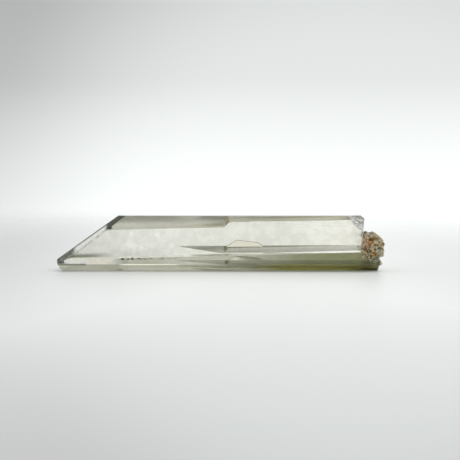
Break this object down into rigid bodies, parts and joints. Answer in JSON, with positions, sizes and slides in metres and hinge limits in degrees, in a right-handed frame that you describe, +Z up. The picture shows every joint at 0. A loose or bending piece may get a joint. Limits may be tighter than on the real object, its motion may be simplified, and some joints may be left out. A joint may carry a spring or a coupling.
{
  "type": "chlorite quartz crystal point",
  "caption": "Long clear quartz point lying flat, cut slantwise by one large tip face, with chlorite tint and an iron-stained crystal knob on its broken base.",
  "frame": {"origin": "middle of the footprint, on the table that the crystal lies on", "axes": "+X along the crystal's c axis from tip to broken base, -Y towards the front, +Z up"},
  "size_m": [0.0622, 0.011, 0.0104],
  "materials": {
    "clear_quartz": "clear, glossy, faint green chlorite tint",
    "stained_knob": "rough, iron-stained crumbs"
  },
  "bodies": {
    "root": {"quartz_crystal": "clear_quartz", "base_knob": "stained_knob"}
  },
  "joints": []
}
